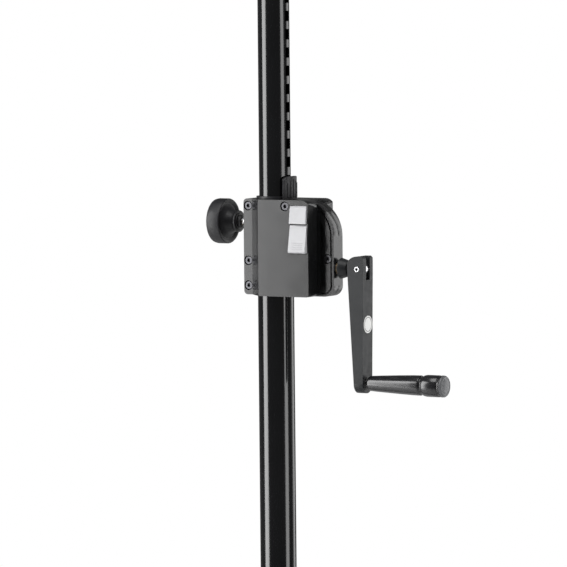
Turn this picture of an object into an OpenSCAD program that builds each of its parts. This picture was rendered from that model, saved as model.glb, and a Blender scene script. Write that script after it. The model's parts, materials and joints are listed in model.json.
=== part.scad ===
// Crank-up lighting stand. Millimetres, +Z up, origin on the floor at the mast axis, front is -Y.

/* [Mast] */
// Outer diameter of the fixed lower tube
lower_tube_d = 40; // [40:0.5:40]
// Outer diameter of the sliding upper tube
upper_tube_d = 35; // [35:0.5:35]
// Wall of both tubes
tube_wall = 2; // [1.5:0.1:2]
// Height of the centre of the gear housing above the floor
house_z = 1200; // [1100:10:1300]
// Height of the lower end of the upper tube
upper_tube_bottom = 340; // [300:10:400]
// Height of the upper end of the upper tube
upper_tube_top = 1560; // [1540:10:1700]
// Distance between the drive slots
slot_pitch = 20; // [20:1:20]
// Number of drive slots
slot_count = 51; // [40:1:51]

/* [Top socket] */
// Bore radius for a standard 28 mm spigot
spigot_r = 14.3; // [14.2:0.05:14.5]
// Depth of the spigot bore
spigot_depth = 70; // [50:5:70]

/* [Housing] */
// Half of the housing's height
house_half_h = 53; // [53:1:56]
// Depth of the raised block in front of the parting plane
block_depth = 28; // [28:0.5:30]
// Depth of the clamping flange in front of the parting plane
flange_depth = 10; // [10:0.5:11]

/* [Crank] */
// Height of the crank shaft below the housing's centre
crank_drop = 22; // [22:0.5:22]
// Distance from the crank shaft to the handle
crank_throw = 125; // [110:1:140]
// Length of the handle
handle_len = 95; // [80:1:110]

/* [Tripod] */
// Distance of the leg and brace pivots from the mast axis
pivot_r = 38; // [38:1:40]
// Height of the brace pivots
brace_pivot_z = 60; // [60:1:70]
// Length of a leg from its pivot
leg_len = 720; // [700:5:740]
// Length of a brace, also the distance of the knee pin along the leg
brace_len = 322.6; // [322.6:0.1:322.6]
// Angle of the legs from the vertical when the stand is open
leg_angle = 52; // [50:1:54]
// Outer diameter of a leg
leg_d = 22; // [20:1:22]

/* [Hidden] */
$fn = 64;
eps = 0.5;
lower_r = lower_tube_d / 2;
lower_bore_r = lower_r - tube_wall;
upper_r = upper_tube_d / 2;
running_fit = 0.05;

// Sprocket: one slot passes per tooth
sprocket_teeth = 6;
sprocket_pitch_r = sprocket_teeth * slot_pitch / (2 * PI);
sprocket_tip_r = sprocket_pitch_r + 2.4;
sprocket_root_r = 14;
sprocket_x = upper_r - 0.6 + sprocket_pitch_r;
sprocket_z = house_z + 13.5;
sprocket_t = 6;
gear_shaft_r = 5;
gear_bush_r = 7.5;
gear_half_len = 21;
slot_w = 8;
slot_h = 11.5;
first_slot_z = sprocket_z - 37 * slot_pitch;

// Coarse worm under the sprocket, one tooth per turn
crank_z = house_z - crank_drop;
worm_r = 18;
worm_x = 25;
worm_len = 21;
worm_core_r = 8;
flight_sector = 100;
worm_pocket_r = 19.5;
worm_pocket_end = 48;
shaft_r = 5;
crank_bush_r = 6.5;

// Housing outline
house_left = -34.7;
house_right = 79;
lower_tube_top = house_z - 3;
big_corner_r = 40;
screw_r = 2.5;
head_r = 4.25;
head_h = 4.5;
counterbore_r = 5.3;
counterbore_depth = 5.5;
hex_r = 2.3;
rim_w = 2.6;
block_right = 60;
channel_margin = 11;
channel_start = block_right + 3;
channel_depth = 3;
groove_w = 1.8;
flange_screws = [[-29.2, 45], [-29.2, -15.4], [-29.2, -42.9], [70.9, -11.6]];
block_screw = [27.8, 46];
recess_left = 34.2;
recess_right = 55.9;
recess_bottom = -6;
recess_top = 47.5;
recess_depth = 3;
lever_pivot_y = -block_depth + 1;
lever_pivot_z = house_z + 24.4;
lever_pin_r = 0.8;

// Mast clamp
clamp_z = house_z + 27;
stud_r = 4;
knob_r = 25;
shoe_r = 5.9;
shoe_x = -17.8;
shoe_back = -22.3;

// Crank
hub_start = 83;
hub_end = 93;
hub_r = 11.5;
fold_x = 108;
pin_r = 3;
pin_bore_r = 1.5;
tongue_r = 7;
tongue_half_t = 4;
arm_half_w = 11;
arm_top = 14;
handle_z = crank_z - crank_throw;
handle_x = 117;
spindle_r = 4;

// Tripod
leg_pivot_z = brace_pivot_z + 2 * brace_len * cos(leg_angle);
leg_r = leg_d / 2;
strip_gap = 11.5;
strip_t = 3;
strip_half_w = 8;
lug_half_t = 5;
socket_bottom = upper_tube_top - 15;
socket_top = upper_tube_top + 10 + spigot_depth;
socket_r = 22;
top_screw_z = socket_top - 40;

module tube(r_out, r_in, z0, z1) {
  translate([0, 0, z0]) difference() {
    cylinder(r = r_out, h = z1 - z0);
    translate([0, 0, -eps]) cylinder(r = r_in, h = z1 - z0 + 2 * eps);
  }
}

// A rod along X from x0 to x1
module rod_x(r, x0, x1, y = 0, z = 0) {
  translate([x0, y, z]) rotate([0, 90, 0]) cylinder(r = r, h = x1 - x0);
}

// A rod along Y from y0 to y1
module rod_y(r, y0, y1, x = 0, z = 0) {
  translate([x, y0, z]) rotate([-90, 0, 0]) cylinder(r = r, h = y1 - y0);
}

module box(x0, x1, y0, y1, z0, z1) {
  translate([x0, y0, z0]) cube([x1 - x0, y1 - y0, z1 - z0]);
}

// Rectangle whose corners are rounded: bottom left, bottom right, top right, top left
module rounded_rect(x0, x1, z0, z1, r) {
  polygon([[x0 + r[0], z0], [x1 - r[1], z0], [x1, z0 + r[1]], [x1, z1 - r[2]],
    [x1 - r[2], z1], [x0 + r[3], z1], [x0, z1 - r[3]], [x0, z0 + r[0]]]);
  translate([x0 + r[0], z0 + r[0]]) circle(r = r[0]);
  translate([x1 - r[1], z0 + r[1]]) circle(r = r[1]);
  translate([x1 - r[2], z1 - r[2]]) circle(r = r[2]);
  translate([x0 + r[3], z1 - r[3]]) circle(r = r[3]);
}

// Extrudes an XZ outline from y0 to y1, its height counted from the housing's centre
module slab(y0, y1, z = house_z) {
  translate([0, y1, z]) rotate([90, 0, 0]) linear_extrude(height = y1 - y0) children();
}

// Extrudes a YZ outline from x0 to x1
module bar(x0, x1) {
  translate([x0, 0, 0]) rotate([90, 0, 90]) linear_extrude(height = x1 - x0) children();
}

module lower_tube() {
  color("#151515") tube(lower_r, lower_bore_r, 30, lower_tube_top);
}

module mast_foot_cap() {
  color("#202020") difference() {
    union() {
      translate([0, 0, 26]) cylinder(r = lower_r + 1.5, h = 4);
      translate([0, 0, 29]) cylinder(r = lower_bore_r, h = 12);
    }
    translate([0, 0, 33]) cylinder(r = lower_bore_r - 3, h = 12);
  }
}

module upper_tube() {
  color("#151515") difference() {
    tube(upper_r, upper_r - tube_wall, upper_tube_bottom, upper_tube_top);
    for (i = [0 : slot_count - 1])
      translate([upper_r, 0, first_slot_z + i * slot_pitch]) cube([10, slot_w, slot_h], center = true);
  }
}

module tube_guide_ring() {
  color("#303030") tube(lower_bore_r - running_fit, upper_r, upper_tube_bottom, upper_tube_bottom + 25);
}

// The housing outline drawn in by a margin
module rounded_edge(margin) {
  rounded_rect(30 - margin, house_right - margin, -house_half_h + margin, house_half_h - margin,
    [1, max(1, 12 - margin), big_corner_r - margin, 1]);
}

// Everything right of the ledge beside the raised block
module right_of_block() {
  translate([channel_start, -2 * house_half_h]) square([house_right, 4 * house_half_h]);
}

// Front half of the solid outline, before the pockets
module housing_half_outline() {
  slab(-flange_depth, 0)
    rounded_rect(house_left, house_right, -house_half_h, house_half_h, [4.5, 12, big_corner_r, 4.5]);
  slab(-flange_depth - 2.4, -flange_depth + eps)
    rounded_rect(54, block_right + 2.4, -house_half_h + 2, house_half_h - 15, [1, 1, 1, 1]);
  intersection() {
    slab(-block_depth, -flange_depth + eps)
      rounded_rect(-26, block_right, -house_half_h, house_half_h, [4.5, 6, 12, 4.5]);
    translate([0, 0, house_z - house_half_h]) linear_extrude(height = 2 * house_half_h)
      polygon([[-24, -flange_depth + eps], [-24, -flange_depth], [-6, -block_depth],
        [block_right - 3, -block_depth], [block_right, -flange_depth], [block_right, -flange_depth + eps]]);
  }
}

// Everything that the two halves close around
module housing_pockets() {
  translate([0, 0, house_z - 60]) cylinder(r = lower_r, h = 120);
  rod_y(sprocket_tip_r + 2, -5, 5, sprocket_x, sprocket_z);
  rod_y(gear_bush_r, -gear_half_len, gear_half_len, sprocket_x, sprocket_z);
  rod_x(worm_pocket_r, 10, worm_pocket_end, 0, crank_z);
  rod_x(crank_bush_r, worm_pocket_end - eps, house_right + 2, 0, crank_z);
  rod_x(7, house_left - 1, -25, 0, clamp_z);
  rod_x(6, -25 - eps, -18, 0, clamp_z);
  for (p = flange_screws) rod_y(screw_r, -20, 9, p[0], house_z + p[1]);
  rod_y(screw_r, -30, 9, block_screw[0], house_z + block_screw[1]);
}

module housing_front() {
  color("#2b2b2b") difference() {
    housing_half_outline();
    housing_pockets();
    for (p = flange_screws)
      rod_y(counterbore_r, -flange_depth - 20, -flange_depth + counterbore_depth, p[0], house_z + p[1]);
    rod_y(counterbore_r, -block_depth - 1, -block_depth + counterbore_depth,
      block_screw[0], house_z + block_screw[1]);
    box(recess_left, recess_right, -block_depth - 1, -block_depth + recess_depth,
      house_z + recess_bottom, house_z + recess_top);
    rod_x(lever_pin_r, recess_left - 3, recess_right + 1, lever_pivot_y, lever_pivot_z);
    slab(-flange_depth - 1, -flange_depth + channel_depth) intersection() {
      difference() {
        rounded_edge(rim_w);
        rounded_edge(rim_w + groove_w);
      }
      right_of_block();
    }
    slab(-flange_depth - 1, -flange_depth + channel_depth) intersection() {
      rounded_edge(channel_margin);
      right_of_block();
    }
  }
}

module housing_back() {
  color("#262626") difference() {
    mirror([0, 1, 0]) housing_half_outline();
    housing_pockets();
  }
}

// Socket head screw along Y, its head at the front face y0
module socket_screw(x, z, y0) {
  difference() {
    union() {
      rod_y(head_r, y0 + counterbore_depth - head_h, y0 + counterbore_depth, x, z);
      rod_y(screw_r, y0 + counterbore_depth - 1, 9, x, z);
    }
    translate([x, y0 + counterbore_depth - head_h - 1, z]) rotate([-90, 0, 0])
      cylinder(r = hex_r, h = 3.5, $fn = 6);
  }
}

module housing_screws() {
  color("#9a9a9a") {
    for (p = flange_screws) socket_screw(p[0], house_z + p[1], -flange_depth);
    socket_screw(block_screw[0], house_z + block_screw[1], -block_depth);
  }
}

module guide_sleeve() {
  color("#3a3a3a") difference() {
    union() {
      tube(lower_r, upper_r + running_fit, lower_tube_top, house_z + house_half_h);
      tube(lower_r + 0.6, upper_r + running_fit, house_z + house_half_h, house_z + house_half_h + 3);
    }
    box(0, 30, -5, 5, lower_tube_top - 1, sprocket_z + 20);
    rod_x(6, -30, -10, 0, clamp_z);
  }
}

module rack_guard() {
  base_z = house_z + house_half_h;
  color("#1c1c1c") intersection() {
    tube(24, 21, base_z, base_z + 25);
    translate([0, 0, base_z]) linear_extrude(height = 25)
      polygon([[0, 0], [40 * cos(38), -40 * sin(38)], [60, 0], [40 * cos(38), 40 * sin(38)]]);
    union() {
      box(0, 30, -16, 16, base_z, base_z + 15);
      box(0, 30, -6, 6, base_z, base_z + 25);
      rod_x(10, 0, 30, -6, base_z + 15);
      rod_x(10, 0, 30, 6, base_z + 15);
    }
  }
}

module latch_cover() {
  color("#b9b9b9") bar(recess_left + 0.4, recess_right - 0.4)
    polygon([[-block_depth + recess_depth, house_z + 27.2], [-block_depth - 3.2, house_z + 27.2],
      [-block_depth - 0.6, house_z + 44.6], [-block_depth + 0.8, house_z + recess_top - 0.4],
      [-block_depth + recess_depth, house_z + recess_top - 0.4]]);
}

module lever_pin() {
  color("#9a9a9a") rod_x(lever_pin_r, recess_left - 3, recess_right + 1, lever_pivot_y, lever_pivot_z);
}

module release_lever() {
  back_y = -block_depth + recess_depth - 0.4;
  color("#d2d2d2") difference() {
    union() {
      bar(recess_left + 0.4, recess_right - 0.4)
        polygon([[back_y, lever_pivot_z], [lever_pivot_y - 1.6, lever_pivot_z],
          [-block_depth - 5.6, house_z - 3.2], [-block_depth - 4.8, house_z - 4.6],
          [back_y, house_z - 4.6]]);
      rod_x(1.6, recess_left + 0.4, recess_right - 0.4, lever_pivot_y, lever_pivot_z);
    }
    rod_x(lever_pin_r + running_fit, recess_left, recess_right, lever_pivot_y, lever_pivot_z);
  }
}

module gear_bushes() {
  color("#a58a4a") for (s = [-1, 1]) {
    y0 = s > 0 ? 5 : -gear_half_len;
    difference() {
      rod_y(gear_bush_r, y0, y0 + gear_half_len - 5, sprocket_x, sprocket_z);
      rod_y(gear_shaft_r + running_fit, y0 - 1, y0 + gear_half_len, sprocket_x, sprocket_z);
    }
  }
}

module gear_shaft() {
  color("#a0a0a0") rod_y(gear_shaft_r, -gear_half_len + 0.5, gear_half_len - 0.5, sprocket_x, sprocket_z);
}

module sprocket() {
  color("#8c8c8c") translate([sprocket_x, sprocket_t / 2, sprocket_z]) rotate([90, 0, 0])
    linear_extrude(height = sprocket_t) difference() {
      union() {
        circle(r = sprocket_root_r);
        for (i = [0 : sprocket_teeth - 1]) rotate(180 + i * 360 / sprocket_teeth)
          polygon([[sprocket_root_r - 1, -3.8], [sprocket_pitch_r, -3], [sprocket_tip_r, -1.7],
            [sprocket_tip_r, 1.7], [sprocket_pitch_r, 3], [sprocket_root_r - 1, 3.8]]);
      }
      circle(r = gear_shaft_r);
    }
}

module crank_bushes() {
  color("#a58a4a") for (span = [[worm_pocket_end, 58], [68, house_right]]) difference() {
    rod_x(crank_bush_r, span[0], span[1], 0, crank_z);
    rod_x(shaft_r + running_fit, span[0] - 1, span[1] + 1, 0, crank_z);
  }
}

module crank_shaft() {
  color("#b0b0b0") rod_x(shaft_r, worm_x - 1, hub_end, 0, crank_z);
}

// Single-start flight: its crest points up where the sprocket's lowest gap is
module worm() {
  crest_angle = 180 - 360 * (sprocket_x - worm_x) / slot_pitch;
  color("#8c8c8c") difference() {
    translate([worm_x, 0, crank_z]) rotate([0, 90, 0])
      linear_extrude(height = worm_len, twist = -360 * worm_len / slot_pitch, slices = 20)
        rotate(crest_angle) union() {
          circle(r = worm_core_r, $fn = 24);
          polygon([for (a = [-flight_sector / 2 : 10 : flight_sector / 2]) worm_r * [cos(a), sin(a)],
            [0, 0]]);
        }
    rod_x(shaft_r, worm_x - 1, worm_x + worm_len + 1, 0, crank_z);
  }
}

module crank_hub() {
  color("#1c1c1c") difference() {
    translate([hub_start, 0, crank_z]) rotate([0, 90, 0])
      cylinder(r1 = hub_r, r2 = hub_r - 3, h = hub_end - hub_start);
    rod_x(shaft_r, hub_start - 1, hub_end + 1, 0, crank_z);
  }
}

// Flat end of the crank shaft that the arm's fork folds about
module crank_tongue() {
  color("#b8b4a8") difference() {
    union() {
      box(hub_end, fold_x, -tongue_half_t, tongue_half_t, crank_z - tongue_r, crank_z + tongue_r);
      rod_y(tongue_r, -tongue_half_t, tongue_half_t, fold_x, crank_z);
    }
    rod_y(pin_r, -20, 20, fold_x, crank_z);
  }
}

module fold_pin() {
  color("#c0c0c0") difference() {
    rod_y(pin_r, -arm_half_w - 0.4, arm_half_w + 0.4, fold_x, crank_z);
    rod_y(pin_bore_r, -arm_half_w - 1, arm_half_w + 1, fold_x, crank_z);
  }
}

module crank_arm() {
  color("#2a2a2a") difference() {
    union() {
      slab(-arm_half_w, arm_half_w, crank_z) union() {
        polygon([[96, 0], [116, 0], [114.2, -crank_throw], [103, -crank_throw]]);
        polygon([[fold_x, 0], [116, 0], [116, arm_top - 2], [114, arm_top], [fold_x, arm_top]]);
        intersection() {
          translate([fold_x, 0]) circle(r = arm_top);
          translate([fold_x - 12, -1]) square([12 + eps, arm_top + 1]);
        }
      }
      rod_x(arm_half_w, 103, 114.2, 0, handle_z);
    }
    box(90, 120, -tongue_half_t - 0.2, tongue_half_t + 0.2, crank_z - 12, crank_z + 20);
    rod_y(pin_r + running_fit, -20, 20, fold_x, crank_z);
    rod_x(spindle_r, 100, 120, 0, handle_z);
  }
}

module round_label() {
  color("#f2f2f2") translate([115.15, 0, crank_z - 60.5]) rotate([0, 90 + 0.82, 0])
    cylinder(r = 9.5, h = 0.4);
}

module handle_spindle() {
  color("#a0a0a0") rod_x(spindle_r, 103, handle_x + handle_len - 8, 0, handle_z);
}

module handle_grip() {
  color("#141414") translate([handle_x, 0, handle_z]) rotate([0, 90, 0]) rotate_extrude()
    polygon([[spindle_r + running_fit, 0], [7, 0], [8.2, 1.2], [9, 14], [10.2, 38], [10.9, 55],
      [11, 64], [10.2, 65.2], [9.6, 65.6], [9.6, 67.4], [10.2, 67.8], [11.3, 69], [11.9, 72],
      [11.9, 86.4], [11.5, 87.2], [11, 87.4], [11, 88.6], [11.5, 88.8], [11.9, 89.4],
      [11.9, handle_len - 4], [spindle_r + running_fit, handle_len - 4]]);
}

module handle_cap() {
  color("#3c3c3c") translate([handle_x + handle_len - 4, 0, handle_z]) rotate([0, 90, 0]) rotate_extrude()
    polygon([[0, 0], [11.9, 0], [11.7, 1.6], [10.8, 2.8], [9.6, 3.2], [8.6, 2.6], [7.6, 3.4], [0, 4]]);
}

module clamp_nut() {
  color("#a58a4a") difference() {
    rod_x(7, house_left, -25, 0, clamp_z);
    rod_x(stud_r + running_fit, house_left - 1, -24, 0, clamp_z);
  }
}

module clamp_stud() {
  color("#b8b8b8") rod_x(stud_r, -72, shoe_back, 0, clamp_z);
}

module brake_shoe() {
  color("#303030") rod_x(shoe_r, shoe_back, shoe_x, 0, clamp_z);
}

module lock_collar() {
  color("#1a1a1a") difference() {
    union() {
      rod_x(12, -48, -45.4, 0, clamp_z);
      rod_x(9.5, -45.5, -44.2, 0, clamp_z);
      rod_x(7, -44.3, -41, 0, clamp_z);
    }
    rod_x(stud_r, -50, -40, 0, clamp_z);
  }
}

// Turned about X: the outline's second number grows towards the outer face
module clamp_knob() {
  color("#1c1c1c") translate([-48, 0, clamp_z]) rotate([0, -90, 0]) rotate_extrude()
    polygon([[stud_r, 0], [9, 0], [11, 2], [14.5, 9], [19.5, 13], [22.5, 11], [24.4, 10.6],
      [knob_r, 12], [knob_r, 23], [24.2, 26.4], [21.5, 28], [0, 28], [0, 24], [stud_r, 24]]);
}

module top_socket() {
  color("#9c9c9c") difference() {
    union() {
      translate([0, 0, socket_bottom]) cylinder(r = socket_r, h = socket_top - socket_bottom);
      rod_x(10, 5, 30, 0, top_screw_z);
    }
    translate([0, 0, socket_bottom - 1]) cylinder(r = upper_r, h = upper_tube_top - socket_bottom + 1);
    translate([0, 0, socket_top - spigot_depth]) cylinder(r = spigot_r, h = spigot_depth + 1);
    rod_x(stud_r + running_fit, 5, 32, 0, top_screw_z);
  }
}

module top_screw() {
  color("#b8b8b8") rod_x(stud_r, 15, 42, 0, top_screw_z);
}

module top_knob() {
  color("#1c1c1c") translate([32, 0, top_screw_z]) rotate([0, 90, 0]) difference() {
    union() {
      cylinder(r = 15, h = 13);
      for (i = [0 : 5]) rotate(i * 60) translate([14, 0, 0]) cylinder(r = 3.5, h = 13);
    }
    translate([0, 0, -1]) cylinder(r = stud_r, h = 11);
  }
}

// Places its children in the plane of leg k: +X outwards
module around(k) {
  rotate([0, 0, 90 + 120 * (k - 1)]) children();
}

// A pair of fork cheeks at height z, outside a tongue
module fork(z) {
  for (k = [1 : 3]) around(k) difference() {
    union() {
      for (s = [-1, 1]) translate([0, s * (lug_half_t + 0.3 + 2) - 2, 0]) {
        box(15, pivot_r, 0, 4, z - 8, z + 8);
        rod_y(8, 0, 4, pivot_r, z);
      }
    }
    rod_y(pin_r, -20, 20, pivot_r, z);
    translate([0, 0, z - 20]) cylinder(r = lower_r + 2, h = 40);
  }
}

module leg_collar() {
  color("#222222") {
    difference() {
      union() {
        tube(lower_r + 6, lower_r + running_fit, leg_pivot_z - 20, leg_pivot_z + 20);
        fork(leg_pivot_z);
        rod_y(8, -36, -lower_r - 2, 0, leg_pivot_z + 11);
      }
      rod_y(stud_r + running_fit, -40, -lower_r + 1, 0, leg_pivot_z + 11);
    }
  }
}

module leg_pins() {
  color("#b0b0b0") for (k = [1 : 3]) around(k) rod_y(pin_r, -10, 10, pivot_r, leg_pivot_z);
}

module collar_knob() {
  color("#1c1c1c") {
    rod_y(stud_r, -40, -lower_r - 0.4, 0, leg_pivot_z + 11);
    rod_y(13, -52, -38, 0, leg_pivot_z + 11);
  }
}

module brace_collar() {
  color("#222222") {
    tube(lower_r + 5, lower_r, brace_pivot_z - 12, brace_pivot_z + 12);
    for (k = [1 : 3]) around(k) difference() {
      union() {
        box(22, pivot_r, -strip_gap + 0.3, strip_gap - 0.3, brace_pivot_z - 7, brace_pivot_z + 7);
        rod_y(7, -strip_gap + 0.3, strip_gap - 0.3, pivot_r, brace_pivot_z);
      }
      rod_y(pin_r, -20, 20, pivot_r, brace_pivot_z);
      translate([0, 0, brace_pivot_z - 20]) cylinder(r = lower_r + 3, h = 40);
    }
  }
}

module brace_pins() {
  color("#b0b0b0") for (k = [1 : 3]) around(k)
    rod_y(pin_r, -strip_gap - strip_t - 1, strip_gap + strip_t + 1, pivot_r, brace_pivot_z);
}

// Local frame of a leg: +Z runs along the leg from its pivot to the foot
module on_leg(k) {
  around(k) translate([pivot_r, 0, leg_pivot_z]) rotate([0, 180 - leg_angle, 0]) children();
}

module leg(k) {
  color("#181818") on_leg(k) difference() {
    union() {
      translate([0, 0, 16]) cylinder(r = leg_r, h = leg_len - 16);
      box(-7, 7, -lug_half_t, lug_half_t, 0, 17);
      rod_y(7, -lug_half_t, lug_half_t);
    }
    translate([0, 0, 24]) cylinder(r = leg_r - 1.5, h = leg_len);
    rod_y(pin_r + running_fit, -20, 20);
    rod_y(pin_r + running_fit, -20, 20, 0, brace_len);
  }
}

module foot(k) {
  color("#101010") difference() {
    on_leg(k) difference() {
      union() {
        translate([0, 0, leg_len - 30]) cylinder(r = leg_r + 5, h = 32);
        translate([0, 0, leg_len + 2]) sphere(r = leg_r + 5);
      }
      translate([0, 0, leg_len - 31]) cylinder(r = leg_r, h = 31);
    }
    translate([-1000, -1000, -100]) cube([2000, 2000, 100]);
  }
}

// Two flat strips from the brace pivot up to the knee pin
module brace(k) {
  color("#242424") around(k) translate([pivot_r, 0, brace_pivot_z]) rotate([0, leg_angle, 0])
    for (y0 = [-strip_gap - strip_t, strip_gap]) difference() {
      union() {
        box(-strip_half_w, strip_half_w, y0, y0 + strip_t, 0, brace_len);
        rod_y(strip_half_w, y0, y0 + strip_t);
        rod_y(strip_half_w, y0, y0 + strip_t, 0, brace_len);
      }
      rod_y(pin_r + running_fit, y0 - 1, y0 + strip_t + 1);
      rod_y(pin_r, y0 - 1, y0 + strip_t + 1, 0, brace_len);
    }
}

module knee_pin(k) {
  color("#b0b0b0") on_leg(k)
    rod_y(pin_r, -strip_gap - strip_t - 1, strip_gap + strip_t + 1, 0, brace_len);
}

lower_tube();
mast_foot_cap();
brace_collar();
housing_front();
housing_back();
housing_screws();
guide_sleeve();
rack_guard();
latch_cover();
lever_pin();
release_lever();
gear_bushes();
crank_bushes();
clamp_nut();
brace_pins();
upper_tube();
tube_guide_ring();
top_socket();
top_screw();
top_knob();
crank_shaft();
worm();
crank_hub();
crank_tongue();
fold_pin();
crank_arm();
round_label();
handle_spindle();
handle_grip();
handle_cap();
gear_shaft();
sprocket();
clamp_knob();
clamp_stud();
lock_collar();
brake_shoe();
leg_collar();
leg_pins();
collar_knob();
leg(1);  // leg_1
leg(2);  // leg_2
leg(3);  // leg_3
foot(1);  // foot_1
foot(2);  // foot_2
foot(3);  // foot_3
brace(1);  // brace_1
brace(2);  // brace_2
brace(3);  // brace_3
knee_pin(1);  // knee_pin_1
knee_pin(2);  // knee_pin_2
knee_pin(3);  // knee_pin_3
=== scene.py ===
import json
import math

import bmesh
import bpy
from mathutils import Matrix, Vector


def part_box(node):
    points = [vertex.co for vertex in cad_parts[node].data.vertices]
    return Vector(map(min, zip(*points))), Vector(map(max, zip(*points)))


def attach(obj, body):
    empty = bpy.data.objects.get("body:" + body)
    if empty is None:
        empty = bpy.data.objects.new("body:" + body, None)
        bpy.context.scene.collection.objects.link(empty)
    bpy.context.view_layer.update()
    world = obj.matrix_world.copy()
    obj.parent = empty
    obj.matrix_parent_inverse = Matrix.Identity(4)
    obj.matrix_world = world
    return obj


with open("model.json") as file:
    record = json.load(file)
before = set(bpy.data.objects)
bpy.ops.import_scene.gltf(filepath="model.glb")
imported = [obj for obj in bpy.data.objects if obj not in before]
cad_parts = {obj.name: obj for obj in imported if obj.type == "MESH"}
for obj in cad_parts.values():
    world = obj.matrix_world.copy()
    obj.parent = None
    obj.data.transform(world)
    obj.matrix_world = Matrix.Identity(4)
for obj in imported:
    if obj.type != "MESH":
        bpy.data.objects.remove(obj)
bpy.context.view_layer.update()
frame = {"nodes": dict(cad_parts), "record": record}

MM = 0.001

# The camera stands at the front right, a little above the gear housing, with a long lens.
CAMERA_AZIMUTH = math.radians(30)
CAMERA_ELEVATION = math.radians(4)
CAMERA_ROLL = math.radians(0.54)
CAMERA_DISTANCE = 5.0
FOCAL_LENGTH_MM = 288.0
SENSOR_WIDTH_MM = 36
AIM_BELOW_HOUSING = 0.041
AIM_TO_THE_RIGHT = 0.0083

# Softboxes around the housing: azimuth from +X, height, distance, size and power.
SOFTBOXES = {
    "left_strip": (-136, 0.25, 2.2, (1.2, 2.8), 98),
    "right_strip": (2, 0.15, 2.2, (0.9, 2.8), 38),
    "side_fill": (62, 0.2, 2.4, (1.3, 2.8), 24),
    "top_box": (-80, 2.3, 0.9, (1.8, 1.8), 50),
}

FLOOR_RADIUS = 3.4
FLOOR_BELOW_FEET = 0.0005

# Ribs on the guard above the housing
GUARD_RIB_DEGREES = (-24, -12, 0, 12, 24)
GUARD_RIB_WIDTH = 0.0022
GUARD_RIB_DEPTH = 0.0008

# Finger ribs on the release lever, whose front leans back by LEVER_LEAN per metre of height
LEVER_RIB_COUNT = 4
LEVER_RIB_SPACING = 0.0022
LEVER_RIB_WIDTH = 0.0009
LEVER_RIB_DEPTH = 0.0003
LEVER_LEAN = 0.005 / 0.0276
LEVER_TOE_HEIGHT = 0.0014

# Printed ring on the round label, which stands LABEL_TILT off vertical
LABEL_TILT = math.radians(0.82)
LABEL_RING_INNER = 0.0074
LABEL_RING_OUTER = 0.0081
LABEL_RING_HEIGHT = 0.00008
LABEL_FACE_BEHIND_EDGE = 0.000136

# Thread on the clamp stud
THREAD_PITCH = 0.00125
THREAD_HEIGHT = 0.0004
THREAD_STEPS = 24


def node_box(name):
    """The lowest and highest corner of a CAD node, as vectors."""
    low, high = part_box(name)
    return Vector(low), Vector(high)


def node_center(name):
    low, high = node_box(name)
    return (low + high) / 2


# ---------------------------------------------------------------- materials


class Shader:
    """A Principled material whose colour, roughness and bump come from procedural nodes."""

    NOISE_LOW = 0.3
    NOISE_HIGH = 0.7

    def __init__(self, name, color, roughness, metallic=0.0, coat=0.0, specular=0.5):
        self.material = bpy.data.materials.new(name)
        self.material.use_nodes = True
        self.nodes = self.material.node_tree.nodes
        self.links = self.material.node_tree.links
        self.base = self.nodes["Principled BSDF"]
        self.base.inputs["Base Color"].default_value = (*color, 1)
        self.base.inputs["Roughness"].default_value = roughness
        self.base.inputs["Metallic"].default_value = metallic
        self.base.inputs["Coat Weight"].default_value = coat
        self.base.inputs["Coat Roughness"].default_value = 0.08
        self.base.inputs["Specular IOR Level"].default_value = specular
        self.color = color
        self.roughness = roughness
        self.normal = None

    def noise(self, scale, detail=4.0, stretch=(1, 1, 1)):
        """Noise in the object's own metres; stretch below 1 draws it out along an axis."""
        coords = self.nodes.new("ShaderNodeTexCoord")
        mapping = self.nodes.new("ShaderNodeMapping")
        mapping.inputs["Scale"].default_value = stretch
        texture = self.nodes.new("ShaderNodeTexNoise")
        texture.inputs["Scale"].default_value = scale
        texture.inputs["Detail"].default_value = detail
        self.links.new(coords.outputs["Object"], mapping.inputs["Vector"])
        self.links.new(mapping.outputs["Vector"], texture.inputs["Vector"])
        return texture.outputs["Fac"]

    def remap(self, value, low, high):
        """Spreads the middle of the noise's range over low to high."""
        node = self.nodes.new("ShaderNodeMapRange")
        node.inputs["From Min"].default_value = self.NOISE_LOW
        node.inputs["From Max"].default_value = self.NOISE_HIGH
        node.inputs["To Min"].default_value = low
        node.inputs["To Max"].default_value = high
        self.links.new(value, node.inputs["Value"])
        return node.outputs["Result"]

    def vary_color(self, value, amount):
        """Shifts the colour between darker and lighter by the given share."""
        mix = self.nodes.new("ShaderNodeMix")
        mix.data_type = "RGBA"
        dark = [c * (1 - amount) for c in self.color]
        light = [min(1.0, c * (1 + amount)) for c in self.color]
        mix.inputs["A"].default_value = (*dark, 1)
        mix.inputs["B"].default_value = (*light, 1)
        self.links.new(self.remap(value, 0, 1), mix.inputs["Factor"])
        self.links.new(mix.outputs["Result"], self.base.inputs["Base Color"])
        return self

    def vary_roughness(self, value, amount):
        spread = self.remap(value, self.roughness - amount, self.roughness + amount)
        self.links.new(spread, self.base.inputs["Roughness"])
        return self

    def bump(self, value, depth_mm, strength=1.0):
        node = self.nodes.new("ShaderNodeBump")
        node.inputs["Distance"].default_value = depth_mm * MM
        node.inputs["Strength"].default_value = strength
        self.links.new(value, node.inputs["Height"])
        if self.normal is not None:
            self.links.new(self.normal, node.inputs["Normal"])
        self.normal = node.outputs["Normal"]
        self.links.new(self.normal, self.base.inputs["Normal"])
        return self


def glossy_tube():
    """Black powder coat: a clear gloss with faint drawing lines along the tube."""
    shader = Shader("glossy_black_tube", (0.0025, 0.0026, 0.003), 0.13)
    shader.vary_color(shader.noise(9), 0.3)
    shader.vary_roughness(shader.noise(60, stretch=(1, 1, 0.04)), 0.025)
    return shader.bump(shader.noise(260, 2, stretch=(1, 1, 0.3)), 0.012, 0.1).material


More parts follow.
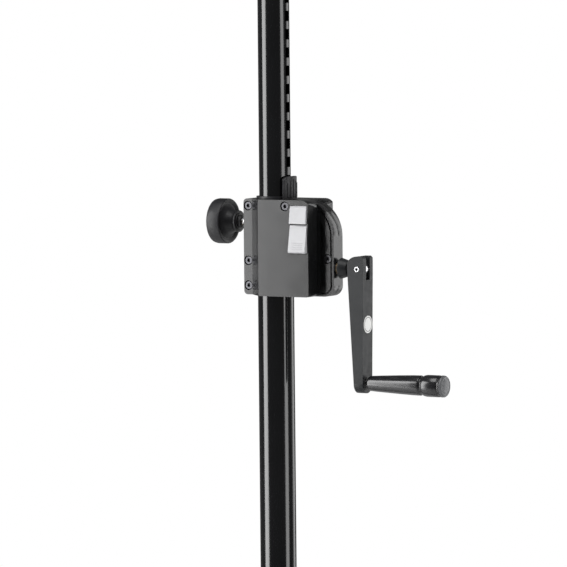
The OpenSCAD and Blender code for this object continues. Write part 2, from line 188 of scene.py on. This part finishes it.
def moulded_housing():
    """Semi-gloss moulding with a fine spark-eroded grain."""
    shader = Shader("moulded_housing", (0.0035, 0.0037, 0.004), 0.24)
    shader.vary_color(shader.noise(30), 0.25)
    shader.vary_roughness(shader.noise(45), 0.03)
    return shader.bump(shader.noise(1300, 2), 0.012, 0.16).material


def matte_moulding():
    """Dull black plastic of the knobs, the collars and the guard."""
    shader = Shader("matte_moulding", (0.008, 0.008, 0.0095), 0.48, specular=0.32)
    shader.vary_color(shader.noise(60), 0.3)
    shader.vary_roughness(shader.noise(90), 0.07)
    return shader.bump(shader.noise(1500, 3), 0.05, 0.5).material


def painted_arm():
    """Dark grey hammered paint on the cast crank arm."""
    shader = Shader("painted_arm", (0.009, 0.01, 0.011), 0.44, specular=0.22)
    shader.vary_color(shader.noise(40), 0.2)
    shader.vary_roughness(shader.noise(120), 0.07)
    return shader.bump(shader.noise(1100, 3), 0.06, 0.5).material


def glossy_grip():
    """Polished black plastic of the rotating handle."""
    shader = Shader("glossy_grip", (0.008, 0.008, 0.009), 0.2)
    shader.vary_color(shader.noise(70), 0.3)
    shader.vary_roughness(shader.noise(140, stretch=(0.1, 1, 1)), 0.06)
    return shader.bump(shader.noise(900, 2), 0.03, 0.25).material


def grey_cap():
    shader = Shader("grey_cap", (0.07, 0.072, 0.076), 0.4)
    shader.vary_color(shader.noise(150), 0.15)
    shader.vary_roughness(shader.noise(200), 0.05)
    return shader.bump(shader.noise(1600, 2), 0.03, 0.4).material


def light_latch():
    shader = Shader("light_latch", (0.34, 0.34, 0.35), 0.36)
    shader.vary_color(shader.noise(50), 0.05)
    shader.vary_roughness(shader.noise(120), 0.06)
    return shader.bump(shader.noise(1700, 2), 0.03, 0.3).material


def blank_label():
    shader = Shader("blank_label", (0.62, 0.62, 0.61), 0.42)
    shader.vary_color(shader.noise(120), 0.03)
    shader.vary_roughness(shader.noise(300), 0.05)
    return shader.bump(shader.noise(1200, 2), 0.02, 0.3).material


def zinc_plate():
    shader = Shader("zinc_plate", (0.6, 0.6, 0.61), 0.26, metallic=1.0)
    shader.vary_color(shader.noise(180), 0.12)
    shader.vary_roughness(shader.noise(400), 0.08)
    return shader.bump(shader.noise(1400, 3), 0.03, 0.3).material


def dark_screw():
    """Blackened steel of the housing's socket screws."""
    shader = Shader("dark_screw", (0.07, 0.07, 0.075), 0.32, metallic=1.0)
    shader.vary_color(shader.noise(300), 0.2)
    shader.vary_roughness(shader.noise(500), 0.07)
    return shader.bump(shader.noise(1800, 2), 0.02, 0.3).material


def machined_steel():
    shader = Shader("machined_steel", (0.42, 0.42, 0.43), 0.34, metallic=1.0)
    shader.vary_color(shader.noise(120), 0.12)
    shader.vary_roughness(shader.noise(300, stretch=(1, 0.1, 1)), 0.08)
    return shader.bump(shader.noise(1500, 2), 0.02, 0.3).material


def sintered_bronze():
    shader = Shader("sintered_bronze", (0.45, 0.31, 0.14), 0.45, metallic=1.0)
    shader.vary_color(shader.noise(500), 0.2)
    shader.vary_roughness(shader.noise(700), 0.08)
    return shader.bump(shader.noise(2500, 2), 0.04, 0.4).material


def satin_aluminium():
    shader = Shader("satin_aluminium", (0.55, 0.555, 0.565), 0.34, metallic=1.0)
    shader.vary_color(shader.noise(60, stretch=(1, 1, 0.2)), 0.08)
    shader.vary_roughness(shader.noise(400, stretch=(1, 1, 0.08)), 0.07)
    return shader.bump(shader.noise(1300, 2), 0.02, 0.3).material


def foot_rubber():
    shader = Shader("foot_rubber", (0.014, 0.014, 0.014), 0.72)
    shader.vary_color(shader.noise(45), 0.35)
    shader.vary_roughness(shader.noise(100), 0.1)
    return shader.bump(shader.noise(1000, 4), 0.08, 0.6).material


def dress_cad_nodes():
    """Gives every CAD node the finish of its material slot in the record."""
    finishes = {
        "tube_black": glossy_tube(), "housing_black": moulded_housing(),
        "black_plastic": matte_moulding(), "arm_grey": painted_arm(),
        "grip_black": glossy_grip(), "cap_grey": grey_cap(), "latch_light": light_latch(),
        "label_white": blank_label(), "zinc": zinc_plate(), "gear_steel": machined_steel(),
        "bronze": sintered_bronze(), "socket_alu": satin_aluminium(), "rubber": foot_rubber(),
    }
    screws = dark_screw()
    for part in frame["record"]["subparts"]:
        name = part["node"]
        finish = screws if name == "housing_screws" else finishes[part["material_slot"]]
        for slot in frame["nodes"][name].material_slots:
            slot.link = "OBJECT"
            slot.material = finish
    return finishes


# Edge radius in millimetres of the nodes whose corners are moulded, cast or broken.
EDGE_RADIUS_MM = {
    "housing_front": 0.8, "housing_back": 0.8, "rack_guard": 0.6, "latch_cover": 0.6,
    "release_lever": 0.6, "crank_arm": 0.9, "crank_hub": 0.5, "crank_tongue": 0.4,
    "clamp_knob": 0.6, "lock_collar": 0.6, "handle_grip": 0.3, "handle_cap": 0.4, "housing_screws": 0.3,
    "top_socket": 0.8, "top_knob": 0.9, "collar_knob": 1.0, "leg_collar": 0.8,
    "brace_collar": 0.8, "guide_sleeve": 0.4, "brace_1": 0.5, "brace_2": 0.5, "brace_3": 0.5,
    "fold_pin": 0.4, "mast_foot_cap": 0.6,
}


def soften_edges():
    """Fine round edges by modifiers, which leave the CAD meshes as they are."""
    for name, radius in EDGE_RADIUS_MM.items():
        node = frame["nodes"][name]
        weld = node.modifiers.new("weld", "WELD")
        weld.merge_threshold = 0.000002
        planes = node.modifiers.new("planes", "DECIMATE")
        planes.decimate_type = "DISSOLVE"
        planes.angle_limit = math.radians(0.5)
        bevel = node.modifiers.new("edges", "BEVEL")
        bevel.width = radius * MM
        bevel.segments = 3
        bevel.limit_method = "ANGLE"
        bevel.angle_limit = math.radians(32)
        bevel.harden_normals = True


# ---------------------------------------------------------------- added pieces


def mesh_piece(name, build, material, body):
    """Makes a piece from a bmesh that build() fills, and rides it on a body."""
    shape = bmesh.new()
    build(shape)
    bmesh.ops.recalc_face_normals(shape, faces=shape.faces)
    mesh = bpy.data.meshes.new(name)
    shape.to_mesh(mesh)
    shape.free()
    mesh.materials.append(material)
    for polygon in mesh.polygons:
        polygon.use_smooth = True
    piece = bpy.data.objects.new(name, mesh)
    bpy.context.scene.collection.objects.link(piece)
    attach(piece, body)
    return piece


def add_ring(shape, center, outward, right, up, outline, count):
    """Turns an outline of (radius, height) points about the outward axis."""
    rings = []
    for radius, height in outline:
        ring = []
        for step in range(count):
            turn = 2 * math.pi * step / count
            side = right * math.cos(turn) + up * math.sin(turn)
            ring.append(shape.verts.new(center + side * radius + outward * height))
        rings.append(ring)
    for first, second in zip(rings, rings[1:] + rings[:1]):
        for step in range(count):
            after = (step + 1) % count
            shape.faces.new((first[step], first[after], second[after], second[step]))


def add_rounded_bar(shape, base, top, width, outward, depth, sides=8):
    """A bar with a half-round front, from base to top, its back lying on the surface."""
    along = (top - base).normalized()
    across = along.cross(outward).normalized()
    loops = []
    for share, size in ((0, 0.35), (0.03, 0.85), (0.08, 1), (0.92, 1), (0.97, 0.85), (1, 0.35)):
        spot = base.lerp(top, share)
        loop = []
        for step in range(sides + 1):
            turn = math.pi * step / sides
            side = across * math.cos(turn) * width / 2
            front = outward * math.sin(turn) * depth * size
            loop.append(shape.verts.new(spot + side * size + front))
        loops.append(loop)
    for first, second in zip(loops, loops[1:]):
        for step in range(sides + 1):
            after = (step + 1) % (sides + 1)
            shape.faces.new((first[step], first[after], second[after], second[step]))
    shape.faces.new(loops[0])
    shape.faces.new(list(reversed(loops[-1])))


def guard_ribs(material):
    """Vertical grip ribs on the curved guard above the housing."""
    low, high = node_box("rack_guard")
    radius = high.x - 0.0001

    def build(shape):
        for degrees in GUARD_RIB_DEGREES:
            turn = math.radians(degrees)
            outward = Vector((math.cos(turn), math.sin(turn), 0))
            top = high.z - 0.003 - 0.004 * abs(degrees) / max(GUARD_RIB_DEGREES)
            base = outward * radius + Vector((0, 0, low.z + 0.001))
            tip = outward * radius + Vector((0, 0, top))
            add_rounded_bar(shape, base, tip, GUARD_RIB_WIDTH, outward, GUARD_RIB_DEPTH)

    return mesh_piece("guard_ribs", build, material, "mast")


def lever_ribs(material):
    """Fine finger ribs near the free end of the release lever."""
    low = node_box("release_lever")[0]
    cover_low = node_box("latch_cover")[0]
    front = Vector((0, -1, 0))

    def build(shape):
        for row in range(LEVER_RIB_COUNT):
            height = low.z + 0.004 + row * LEVER_RIB_SPACING
            face_y = low.y + LEVER_LEAN * (height - low.z - LEVER_TOE_HEIGHT)
            base = Vector((cover_low.x + 0.003, face_y, height))
            tip = Vector((cover_low.x + 0.0175, face_y, height))
            add_rounded_bar(shape, base, tip, LEVER_RIB_WIDTH, front, LEVER_RIB_DEPTH, 6)

    return mesh_piece("lever_ribs", build, material, "lever")


def label_ring(material):
    """A plain printed ring near the rim of the blank round label."""
    low, high = node_box("round_label")
    middle = (low + high) / 2
    outward = Matrix.Rotation(LABEL_TILT, 3, "Y") @ Vector((1, 0, 0))
    center = Vector((high.x - LABEL_FACE_BEHIND_EDGE, middle.y, middle.z))
    up = outward.cross(Vector((0, 1, 0))).normalized()
    outline = (
        (LABEL_RING_INNER, 0), (LABEL_RING_INNER, LABEL_RING_HEIGHT),
        (LABEL_RING_OUTER, LABEL_RING_HEIGHT), (LABEL_RING_OUTER, 0),
    )

    def build(shape):
        add_ring(shape, center, outward, Vector((0, 1, 0)), up, outline, 64)

    return mesh_piece("label_ring", build, material, "arm")


def stud_thread(material):
    """The thread that shows on the clamp stud between the housing and the lock collar."""
    stud_low, stud_high = node_box("clamp_stud")
    start = node_box("housing_front")[0].x - 0.0003
    end = node_box("lock_collar")[1].x + 0.0002
    radius = (stud_high.z - stud_low.z) / 2 - 0.0001
    center = node_center("clamp_stud")
    half_width = Vector((0.3 * THREAD_PITCH, 0, 0))

    def build(shape):
        turns = (start - end) / THREAD_PITCH
        rows = []
        for step in range(int(turns * THREAD_STEPS) + 1):
            turn = 2 * math.pi * step / THREAD_STEPS
            x = end + THREAD_PITCH * step / THREAD_STEPS
            side = Vector((0, math.cos(turn), math.sin(turn)))
            spot = Vector((x, center.y, center.z))
            rows.append([
                shape.verts.new(spot + side * radius - half_width),
                shape.verts.new(spot + side * (radius + THREAD_HEIGHT)),
                shape.verts.new(spot + side * radius + half_width),
            ])
        for first, second in zip(rows, rows[1:]):
            for column in range(3):
                after = (column + 1) % 3
                shape.faces.new((first[column], first[after], second[after], second[column]))
        shape.faces.new(rows[0])
        shape.faces.new(list(reversed(rows[-1])))

    return mesh_piece("stud_thread", build, material, "knob")


# ---------------------------------------------------------------- stage


def floor_disc():
    """A pale floor that fades into the white surroundings."""
    shape = bmesh.new()
    bmesh.ops.create_circle(shape, cap_ends=True, segments=96, radius=FLOOR_RADIUS)
    mesh = bpy.data.meshes.new("floor")
    shape.to_mesh(mesh)
    shape.free()
    shader = Shader("pale_floor", (0.86, 0.86, 0.86), 0.6)
    shader.vary_color(shader.noise(3), 0.015)
    shader.bump(shader.noise(300, 2), 0.05, 0.15)
    mesh.materials.append(shader.material)
    floor = bpy.data.objects.new("floor", mesh)
    floor.location.z = -FLOOR_BELOW_FEET
    bpy.context.scene.collection.objects.link(floor)


def softbox(name, azimuth, height, distance, size, power, target):
    """An area light at an azimuth counted from +X, aimed at the housing."""
    data = bpy.data.lights.new(name, "AREA")
    data.shape = "RECTANGLE"
    data.size, data.size_y = size
    data.energy = power
    light = bpy.data.objects.new(name, data)
    turn = math.radians(azimuth)
    light.location = target + Vector((math.cos(turn) * distance, math.sin(turn) * distance, height))
    light.rotation_euler = (target - light.location).to_track_quat("-Z", "Y").to_euler()
    light.visible_camera = False
    bpy.context.scene.collection.objects.link(light)


def surroundings():
    """White behind the object, and a dim grey room in its reflections."""
    world = bpy.data.worlds.new("surroundings")
    world.use_nodes = True
    nodes, links = world.node_tree.nodes, world.node_tree.links
    room = nodes["Background"]
    room.inputs["Color"].default_value = (1, 1, 1, 1)
    room.inputs["Strength"].default_value = 0.14
    backdrop = nodes.new("ShaderNodeBackground")
    backdrop.inputs["Color"].default_value = (1, 1, 1, 1)
    backdrop.inputs["Strength"].default_value = 1.0
    path = nodes.new("ShaderNodeLightPath")
    mix = nodes.new("ShaderNodeMixShader")
    links.new(path.outputs["Is Camera Ray"], mix.inputs["Fac"])
    links.new(room.outputs["Background"], mix.inputs[1])
    links.new(backdrop.outputs["Background"], mix.inputs[2])
    links.new(mix.outputs["Shader"], nodes["World Output"].inputs["Surface"])
    bpy.context.scene.world = world
    bpy.context.scene.view_settings.view_transform = "Standard"


def camera(housing):
    """Looks at the housing from the front right, rolled by the stand's slight lean."""
    data = bpy.data.cameras.new("camera")
    data.lens = FOCAL_LENGTH_MM
    data.sensor_width = SENSOR_WIDTH_MM
    data.clip_end = 60
    view = bpy.data.objects.new("camera", data)
    a, e = CAMERA_AZIMUTH, CAMERA_ELEVATION
    back = Vector((math.sin(a) * math.cos(e), -math.cos(a) * math.cos(e), math.sin(e)))
    right = Vector((math.cos(a), math.sin(a), 0))
    aim = Vector((0, 0, housing.z - AIM_BELOW_HOUSING)) + right * AIM_TO_THE_RIGHT
    view.location = aim + back * CAMERA_DISTANCE
    turn = (-back).to_track_quat("-Z", "Y").to_matrix() @ Matrix.Rotation(-CAMERA_ROLL, 3, "Z")
    view.rotation_euler = turn.to_euler()
    bpy.context.scene.collection.objects.link(view)
    bpy.context.scene.camera = view


def lights(housing):
    target = Vector((0, 0, housing.z))
    for name, settings in SOFTBOXES.items():
        softbox(name, *settings, target)


finishes = dress_cad_nodes()
soften_edges()
guard_ribs(finishes["black_plastic"])
lever_ribs(finishes["latch_light"])
label_ring(finishes["cap_grey"])
stud_thread(finishes["zinc"])
floor_disc()
surroundings()
housing_center = node_center("housing_front")
lights(housing_center)
camera(housing_center)
